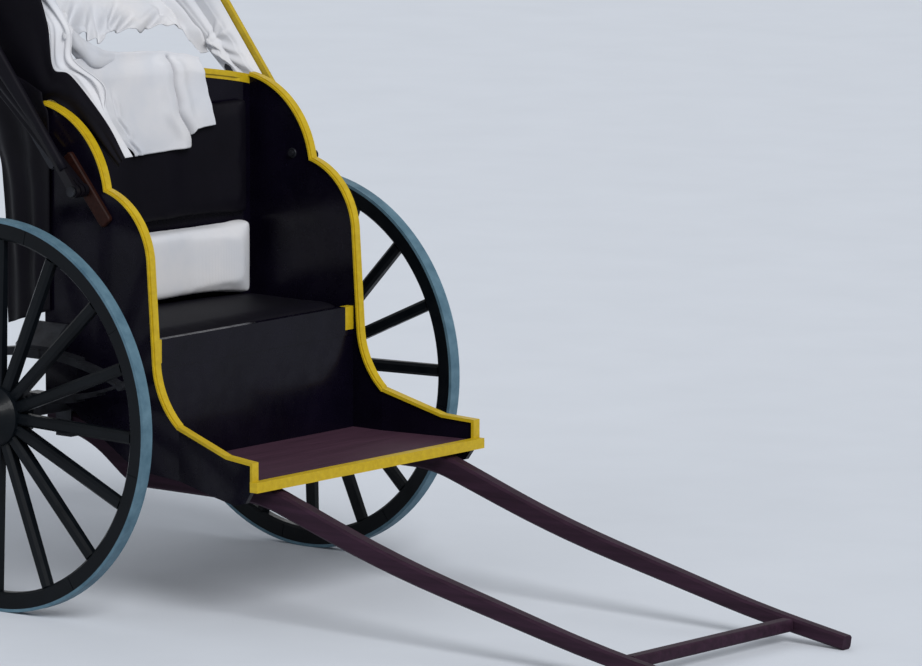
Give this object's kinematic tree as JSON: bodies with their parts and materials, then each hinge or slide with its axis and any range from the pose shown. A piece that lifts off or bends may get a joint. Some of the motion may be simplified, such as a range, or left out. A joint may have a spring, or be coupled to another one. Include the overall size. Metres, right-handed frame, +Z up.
{
  "type": "pulled rickshaw",
  "caption": "Two-seat pulled rickshaw with large spoked wheels, curved shafts with a crossbar, a lacquered body with footrest and a folding hood, parked on its shafts.",
  "frame": {"origin": "on the floor, under the middle of the whole cart's box", "axes": "+X forward to the shaft tips, +Y the cart's left, +Z up"},
  "size_m": [2.5339, 1.424, 1.7075],
  "materials": {
    "tyre": "dull grey-blue iron",
    "wheel_black": "black lacquer, satin",
    "iron": "dark iron",
    "shaft_brown": "dark purple-brown oiled wood",
    "lacquer": "deep black lacquer, glossy",
    "yellow": "yellow lacquered moulding, satin",
    "floor_brown": "brown boards, worn",
    "block_brown": "dark red-brown wood",
    "seat_black": "black leather",
    "white_cloth": "off-white cotton",
    "hood_black": "black oiled cloth",
    "bow_yellow": "yellow varnished bentwood"
  },
  "bodies": {
    "cart": {"axle": "iron", "axle_clip_left": "iron", "axle_clip_right": "iron", "axle_nut_left": "iron", "axle_nut_right": "iron", "back_cushion": "white_cloth", "back_pad": "seat_black", "back_panel": "lacquer", "bottom_board": "lacquer", "cheek_left": "lacquer", "cheek_right": "lacquer", "cheek_trim_left": "yellow", "cheek_trim_right": "yellow", "crest_cloth": "white_cloth", "crest_moulding": "yellow", "crossbar": "shaft_brown", "foot_border": "yellow", "footboard": "floor_brown", "hood_block_left": "block_brown", "hood_block_right": "block_brown", "hood_bow_rear": "bow_yellow", "hood_cloth_rear": "hood_black", "hood_curtain": "white_cloth", "hood_pin_left": "iron", "hood_pin_right": "iron", "hood_stay_left": "iron", "hood_stay_right": "iron", "seat_board": "lacquer", "seat_cushion": "seat_black", "seat_front": "lacquer", "seat_rail": "lacquer", "seat_rail_caps": "yellow", "shaft_left": "shaft_brown", "shaft_right": "shaft_brown", "side_panel_left": "lacquer", "side_panel_right": "lacquer", "spring_bracket_left": "iron", "spring_bracket_right": "iron", "spring_left": "iron", "spring_right": "iron", "trim_left": "yellow", "trim_right": "yellow"},
    "wheel_right": {"tyre_right": "tyre", "felloes_right": "wheel_black", "spokes_right": "wheel_black", "nave_right": "wheel_black", "nave_bands_right": "iron"},
    "wheel_left": {"tyre_left": "tyre", "felloes_left": "wheel_black", "spokes_left": "wheel_black", "nave_left": "wheel_black", "nave_bands_left": "iron"},
    "hood_mid": {"hood_bow_mid": "bow_yellow", "hood_cloth_mid": "hood_black"},
    "hood_front": {"hood_bow_front": "bow_yellow", "hood_cloth_front": "hood_black"}
  },
  "joints": [
    {"name": "wheel_right_spin", "type": "hinge", "parent": "cart", "child": "wheel_right", "pos_m": [-0.70447, -0.6, 0.5], "axis": [0, 1, 0], "continuous": true},
    {"name": "wheel_left_spin", "type": "hinge", "parent": "cart", "child": "wheel_left", "pos_m": [-0.70447, 0.6, 0.5], "axis": [0, 1, 0], "continuous": true},
    {"name": "hood_raise", "type": "hinge", "parent": "cart", "child": "hood_front", "pos_m": [-0.57447, 0, 1.065], "axis": [0, 1, 0], "range_deg": [0, 68]},
    {"name": "hood_mid_raise", "type": "hinge", "parent": "cart", "child": "hood_mid", "pos_m": [-0.57447, 0, 1.065], "axis": [0, 1, 0], "range_deg": [0, 34]}
  ],
  "couplings": [
    {"joint": "hood_mid_raise", "follows": "hood_raise", "ratio": 0.5}
  ]
}
